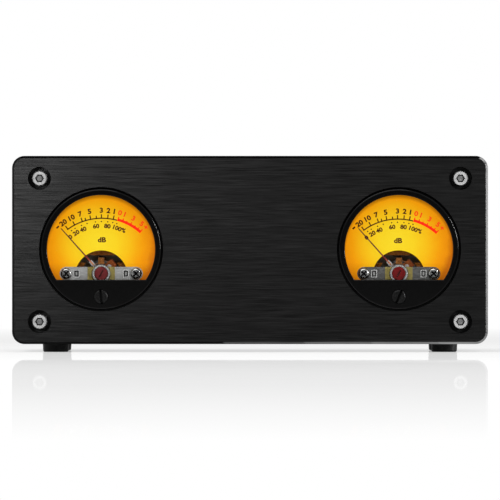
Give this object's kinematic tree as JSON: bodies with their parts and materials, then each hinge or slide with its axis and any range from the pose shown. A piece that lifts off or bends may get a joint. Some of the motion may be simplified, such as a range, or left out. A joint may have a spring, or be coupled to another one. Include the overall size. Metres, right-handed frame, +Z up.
{
  "type": "analog vu meter",
  "caption": "Flat desktop case with a thick brushed front panel carrying two round back-lit moving-coil level meters; jacks, inlet, rocker switch and level knob behind.",
  "frame": {"origin": "on the floor under the middle of the whole unit, knob included", "axes": "+Z up, -Y out of the front panel towards the viewer, +X to the viewer's right"},
  "size_m": [0.177, 0.1344, 0.073],
  "materials": {
    "black_panel": "brushed, black anodised",
    "black_case": "fine satin, black anodised",
    "bright_screw": "polished",
    "dark_screw": "black oxide",
    "foot_rubber": "matt",
    "bezel_black": "semi-gloss moulded",
    "clear_window": "clear acrylic",
    "shell_white": "moulded, light reflecting",
    "dial_amber": "translucent, printed, lit from behind",
    "bridge_steel": "stamped and plated",
    "yoke_iron": "dull plated",
    "magnet": "nickel plated",
    "brass": "bright",
    "khaki_board": "laminate",
    "red_lacquer": "lacquered",
    "nut_bright": "plated",
    "needle_red": "dark red lacquer",
    "cross_metal": "dull",
    "coil_copper": "enamelled copper winding",
    "staff_steel": "ground",
    "spring_bronze": "phosphor bronze strip",
    "lamp_board": "white solder mask",
    "circuit_board": "green solder mask",
    "capacitor_sleeve": "shrink sleeve",
    "chip_black": "moulded",
    "lead_jacket": "PVC",
    "gold_jack": "gilt",
    "insert_white": "moulded",
    "inlet_black": "moulded",
    "switch_black": "moulded",
    "control_metal": "plated",
    "knob_black": "turned, black anodised"
  },
  "bodies": {
    "case": {"backlights": "lamp_board", "board_capacitors": "capacitor_sleeve", "board_chips": "chip_black", "bridge_keys": "nut_bright", "bridge_pillars": "brass", "bridge_screws": "nut_bright", "clamp_rings": "bridge_steel", "clamp_screws": "dark_screw", "core_magnets": "magnet", "core_strips": "brass", "driver_board": "circuit_board", "feet": "foot_rubber", "front_panel": "black_panel", "insulating_plates": "khaki_board", "jack_inserts": "insert_white", "jewel_nuts": "nut_bright", "left_bezel": "bezel_black", "left_dial_plate": "dial_amber", "left_front_bridge": "bridge_steel", "left_jewel_screw": "red_lacquer", "left_lens": "clear_window", "left_meter_shell": "shell_white", "left_yoke": "yoke_iron", "level_control": "control_metal", "lower_shell": "black_case", "meter_leads": "lead_jacket", "meter_terminals": "brass", "panel_screws": "bright_screw", "power_inlet": "inlet_black", "rear_bridges": "bridge_steel", "rear_leads": "lead_jacket", "rear_panel": "black_case", "rear_screws": "dark_screw", "right_bezel": "bezel_black", "right_dial_plate": "dial_amber", "right_front_bridge": "bridge_steel", "right_jewel_screw": "red_lacquer", "right_lens": "clear_window", "right_meter_shell": "shell_white", "right_yoke": "yoke_iron", "signal_jacks": "gold_jack", "switch_housing": "switch_black", "upper_shell": "black_case"},
    "left_zero_adjuster": {"left_zero_screw": "bezel_black"},
    "left_spring_arm": {"left_zero_arm": "bridge_steel", "left_hairspring": "spring_bronze"},
    "left_moving_system": {"left_needle": "needle_red", "left_balance_cross": "cross_metal", "left_moving_coil": "coil_copper", "left_pivot_staff": "staff_steel"},
    "right_zero_adjuster": {"right_zero_screw": "bezel_black"},
    "right_spring_arm": {"right_zero_arm": "bridge_steel", "right_hairspring": "spring_bronze"},
    "right_moving_system": {"right_needle": "needle_red", "right_balance_cross": "cross_metal", "right_moving_coil": "coil_copper", "right_pivot_staff": "staff_steel"},
    "rocker": {"switch_rocker": "switch_black"},
    "knob": {"level_knob": "knob_black", "level_shaft": "staff_steel"}
  },
  "joints": [
    {"name": "left_zero_turn", "type": "hinge", "parent": "case", "child": "left_zero_adjuster", "pos_m": [-0.0554, -0.06725, 0.0206], "axis": [0, 1, 0], "range_deg": [-45, 45]},
    {"name": "left_arm_swing", "type": "hinge", "parent": "case", "child": "left_spring_arm", "pos_m": [-0.0554, -0.06725, 0.0292], "axis": [0, 1, 0], "range_deg": [-6.6, 6.6]},
    {"name": "left_needle_swing", "type": "hinge", "parent": "left_spring_arm", "child": "left_moving_system", "pos_m": [-0.0554, -0.06725, 0.0292], "axis": [0, 1, 0], "range_deg": [-3, 88], "stiffness_Nm_per_rad": 0.000015},
    {"name": "right_zero_turn", "type": "hinge", "parent": "case", "child": "right_zero_adjuster", "pos_m": [0.0554, -0.06725, 0.0206], "axis": [0, 1, 0], "range_deg": [-45, 45]},
    {"name": "right_arm_swing", "type": "hinge", "parent": "case", "child": "right_spring_arm", "pos_m": [0.0554, -0.06725, 0.0292], "axis": [0, 1, 0], "range_deg": [-6.6, 6.6]},
    {"name": "right_needle_swing", "type": "hinge", "parent": "right_spring_arm", "child": "right_moving_system", "pos_m": [0.0554, -0.06725, 0.0292], "axis": [0, 1, 0], "range_deg": [-3, 88], "stiffness_Nm_per_rad": 0.000015},
    {"name": "power_rock", "type": "hinge", "parent": "case", "child": "rocker", "pos_m": [0.04, 0.05095, 0.038], "axis": [1, 0, 0], "range_deg": [-24, 0]},
    {"name": "level_turn", "type": "hinge", "parent": "case", "child": "knob", "pos_m": [-0.05, 0.05175, 0.038], "axis": [0, 1, 0], "range_deg": [-150, 150]}
  ],
  "couplings": [
    {"joint": "left_arm_swing", "follows": "left_zero_turn", "ratio": -0.146},
    {"joint": "right_arm_swing", "follows": "right_zero_turn", "ratio": -0.146}
  ]
}
